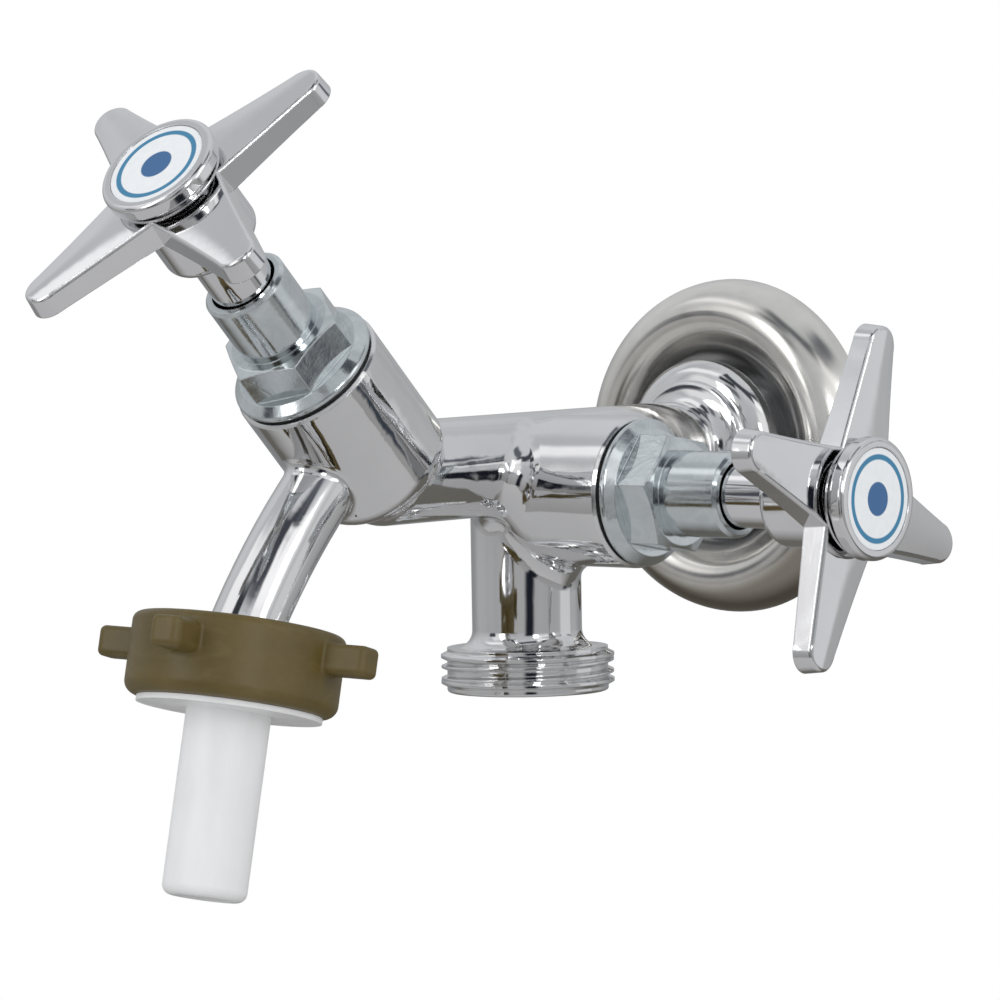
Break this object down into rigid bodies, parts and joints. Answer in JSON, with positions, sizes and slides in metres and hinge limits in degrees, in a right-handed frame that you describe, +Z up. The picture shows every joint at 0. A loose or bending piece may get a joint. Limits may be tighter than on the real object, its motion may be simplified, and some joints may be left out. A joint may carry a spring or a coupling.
{
  "type": "washing machine tap",
  "caption": "Wall tap with a threaded outlet for a washing machine on a side valve and a hose tail on a front valve, both with cross handles.",
  "frame": {"origin": "on the inlet thread's axis at the wall face", "axes": "+Y runs into the wall along the inlet, -Y towards the user, +X towards the side valve, +Z up"},
  "size_m": [0.0928, 0.1607, 0.1199],
  "materials": {
    "chrome": "polished chrome plate over brass",
    "steel": "pressed stainless sheet, satin",
    "brass": "turned brass, left bare",
    "black_rubber": "moulded rubber",
    "nut_plastic": "moulded plastic, satin olive brown",
    "white_plastic": "moulded plastic, slightly translucent white",
    "disc_plastic": "pale glossy plastic with a printed ring and dot"
  },
  "bodies": {
    "tap": {"tap_body": "chrome", "side_bonnet": "chrome", "side_bonnet_washer": "black_rubber", "front_bonnet": "chrome", "front_bonnet_washer": "black_rubber"},
    "flange": {"wall_flange": "steel"},
    "side_jumper": {"side_valve_plate": "brass", "side_seat_washer": "black_rubber", "side_plate_nut": "brass"},
    "side_spindle": {"side_spindle": "brass", "side_spindle_ring": "black_rubber", "side_handle": "chrome", "side_handle_screw": "brass", "side_index_cap": "chrome", "side_index_disc": "disc_plastic"},
    "front_jumper": {"front_valve_plate": "brass", "front_seat_washer": "black_rubber", "front_plate_nut": "brass"},
    "front_spindle": {"front_spindle": "brass", "front_spindle_ring": "black_rubber", "front_handle": "chrome", "front_handle_screw": "brass", "front_index_cap": "chrome", "front_index_disc": "disc_plastic"},
    "tail": {"hose_tail": "white_plastic", "tail_washer": "black_rubber"},
    "nut": {"coupling_nut": "nut_plastic"}
  },
  "joints": [
    {"name": "flange_slide", "type": "slide", "parent": "tap", "child": "flange", "axis": [0, -1, 0], "range_m": [0, 0.0037]},
    {"name": "side_lift", "type": "slide", "parent": "tap", "child": "side_jumper", "axis": [1, 0, 0], "range_m": [0, 0.005]},
    {"name": "side_turn", "type": "hinge", "parent": "side_jumper", "child": "side_spindle", "pos_m": [0.0224, -0.0534, -0.004], "axis": [1, 0, 0], "range_deg": [0, 900]},
    {"name": "front_lift", "type": "slide", "parent": "tap", "child": "front_jumper", "axis": [0, -0.7193, 0.6947], "range_m": [0, 0.005]},
    {"name": "front_turn", "type": "hinge", "parent": "front_jumper", "child": "front_spindle", "pos_m": [0, -0.10373, 0.01625], "axis": [0, -0.7193, 0.6947], "range_deg": [0, 900]},
    {"name": "tail_drop", "type": "slide", "parent": "tap", "child": "tail", "axis": [0, -0.2317, -0.9728], "range_m": [0, 0.00725]},
    {"name": "nut_turn", "type": "hinge", "parent": "tail", "child": "nut", "pos_m": [0, -0.1219, -0.03175], "axis": [0, -0.2317, -0.9728], "range_deg": [0, 1440]}
  ],
  "couplings": [
    {"joint": "side_turn", "follows": "side_lift", "rad_per_m": 3141.6},
    {"joint": "front_turn", "follows": "front_lift", "rad_per_m": 3141.6},
    {"joint": "nut_turn", "follows": "tail_drop", "rad_per_m": 3463.7}
  ]
}
